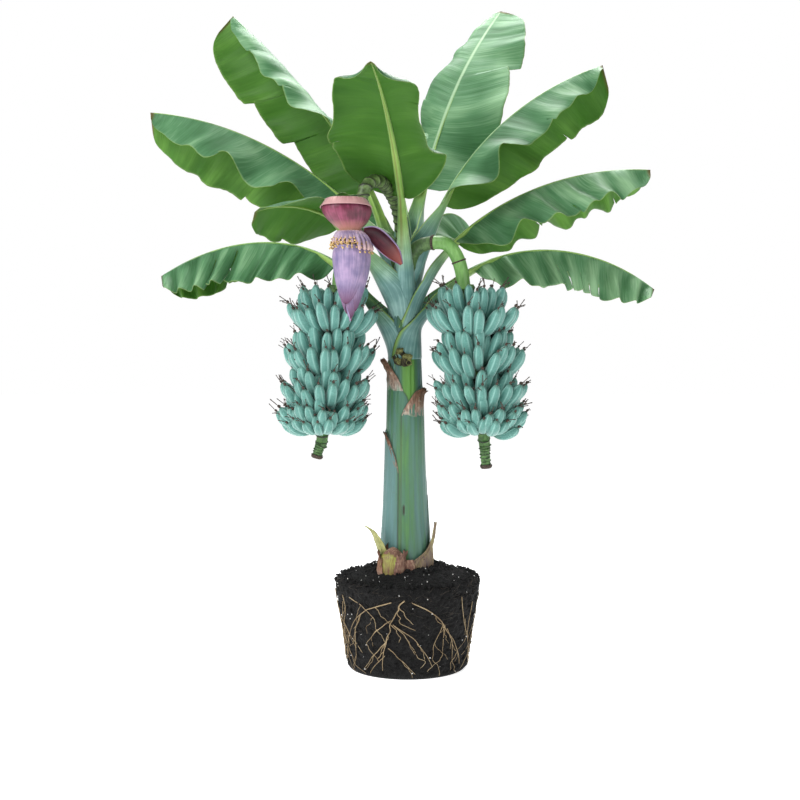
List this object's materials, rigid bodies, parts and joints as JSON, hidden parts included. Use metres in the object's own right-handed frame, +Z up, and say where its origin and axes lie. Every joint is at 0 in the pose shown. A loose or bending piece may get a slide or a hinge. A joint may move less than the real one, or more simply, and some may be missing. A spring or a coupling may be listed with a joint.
{
  "type": "banana plant",
  "caption": "Banana plant on its bare root ball: a sheathed pseudostem, arching broad leaves, a drooping purple flower and hanging bunches of blue-green fruit.",
  "frame": {"origin": "centre of the root ball's flat underside, where the plant stands", "axes": "+Z up along the pseudostem; the flower hangs towards -Y, the front; a bunch of fruit hangs on either side, towards -X and +X"},
  "size_m": [2.5875, 1.8987, 3.4771],
  "materials": {
    "soil": "matte",
    "stem_skin": "satin",
    "leaf_stalk": "satin",
    "leaf_blade": "satin",
    "dry_sheath": "matte",
    "young_growth": "matte",
    "fruit_stalk": "satin",
    "flower_stalk": "matte",
    "bract": "satin",
    "florets": "matte",
    "fruit": "matte"
  },
  "bodies": {
    "root": {"pseudostem": "stem_skin", "root_ball": "soil", "stalk_low_left": "leaf_stalk", "stalk_left": "leaf_stalk", "stalk_high_left": "leaf_stalk", "stalk_front": "leaf_stalk", "stalk_high_right": "leaf_stalk", "stalk_right": "leaf_stalk", "stalk_mid_right": "leaf_stalk", "stalk_low_right": "leaf_stalk", "stalk_front_left": "leaf_stalk", "stalk_back_right": "leaf_stalk", "stalk_back_left": "leaf_stalk", "stalk_back": "leaf_stalk", "flower_stalk_rise": "flower_stalk", "flower_stalk_drop": "flower_stalk", "fruit_stalk_left_rise": "fruit_stalk", "fruit_stalk_left_drop": "fruit_stalk", "fruit_tail_left": "fruit_stalk", "fruit_stalk_right_rise": "fruit_stalk", "fruit_stalk_right_drop": "fruit_stalk", "fruit_tail_right": "fruit_stalk", "blade_low_left": "leaf_blade", "blade_left": "leaf_blade", "blade_high_left": "leaf_blade", "blade_front": "leaf_blade", "blade_high_right": "leaf_blade", "blade_right": "leaf_blade", "blade_mid_right": "leaf_blade", "blade_low_right": "leaf_blade", "blade_front_left": "leaf_blade", "blade_back_right": "leaf_blade", "blade_back_left": "leaf_blade", "blade_back": "leaf_blade", "flower_hand": "florets", "flower_bud": "bract", "flower_bract_top": "bract", "flower_bract_side": "bract", "fruit_hand_left_1": "fruit", "fruit_hand_left_2": "fruit", "fruit_hand_left_3": "fruit", "fruit_hand_left_4": "fruit", "fruit_hand_left_5": "fruit", "fruit_hand_right_1": "fruit", "fruit_hand_right_2": "fruit", "fruit_hand_right_3": "fruit", "fruit_hand_right_4": "fruit", "fruit_hand_right_5": "fruit", "sheath_left": "dry_sheath", "sheath_right": "dry_sheath", "sheath_low_left": "dry_sheath", "scar_tuft": "dry_sheath", "sucker_bud": "young_growth", "spike_bract_left": "young_growth", "bract_right": "young_growth", "bract_front": "dry_sheath"}
  },
  "joints": []
}
